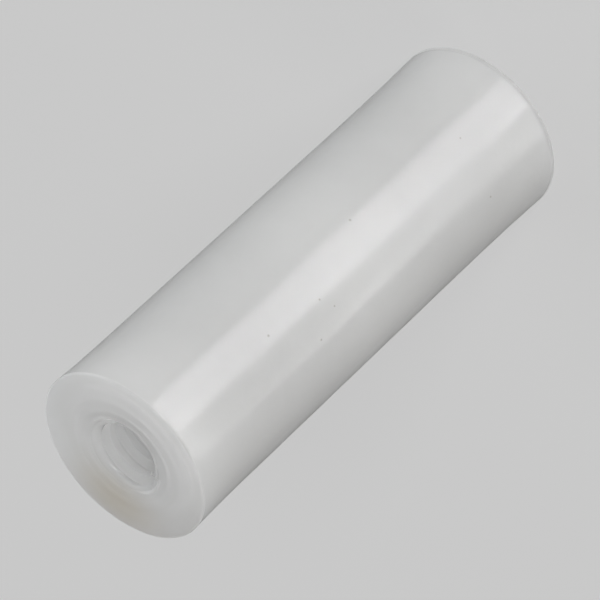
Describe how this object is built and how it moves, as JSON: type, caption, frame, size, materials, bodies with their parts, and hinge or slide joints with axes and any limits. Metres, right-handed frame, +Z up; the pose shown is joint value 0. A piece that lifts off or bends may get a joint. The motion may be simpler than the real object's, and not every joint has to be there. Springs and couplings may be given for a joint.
{
  "type": "round standoff",
  "caption": "Round natural nylon standoff: a plain cylinder with flared rims and a blind threaded bore in each end face, to hold a board off a panel.",
  "frame": {"origin": "centre of the lower end face, on the surface that the standoff stands on", "axes": "+Z up along the standoff's axis, from the lower end face to the upper one; X and Y are any pair across it"},
  "size_m": [0.0064, 0.0064, 0.0191],
  "materials": {
    "natural_nylon": "satin, milky white and slightly translucent natural nylon, faintly scuffed and pitted, faced and tapped at the ends"
  },
  "bodies": {
    "root": {"standoff": "natural_nylon"}
  },
  "joints": []
}
